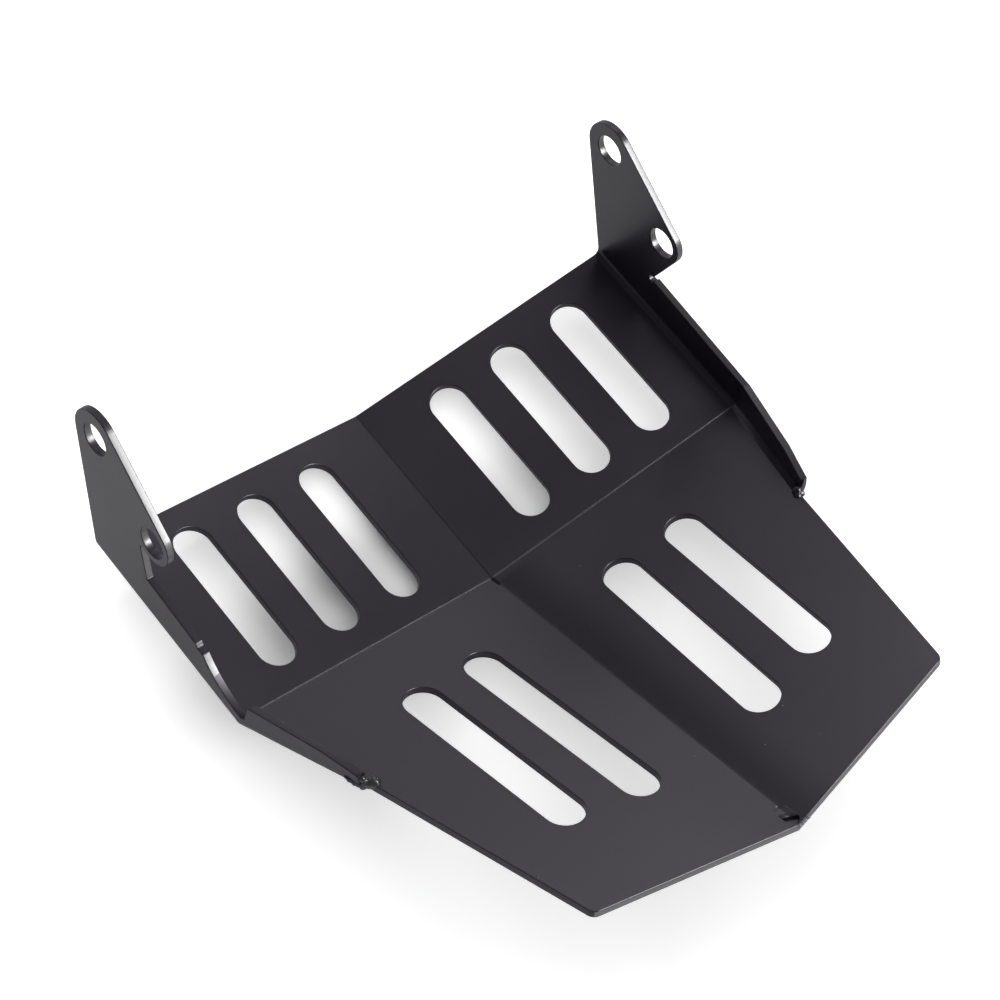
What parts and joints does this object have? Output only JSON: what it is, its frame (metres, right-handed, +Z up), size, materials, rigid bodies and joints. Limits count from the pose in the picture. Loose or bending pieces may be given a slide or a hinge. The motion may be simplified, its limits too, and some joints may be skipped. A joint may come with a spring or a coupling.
{
  "type": "motorcycle chin spoiler",
  "caption": "Folded sheet-steel belly guard with vented V-shaped panels, low side flanges and upright mounting ears, satin black.",
  "frame": {"origin": "middle of the line through the two upper bolt holes, on the plate's middle plane", "axes": "+X across the bike to the plate's right as seen from behind the rider, +Y to the rear, +Z up with the rear keel fold level"},
  "size_m": [0.2038, 0.215, 0.0757],
  "materials": {
    "powder_coated_steel": "satin black powder coat"
  },
  "bodies": {
    "root": {"spoiler_plate": "powder_coated_steel"}
  },
  "joints": []
}
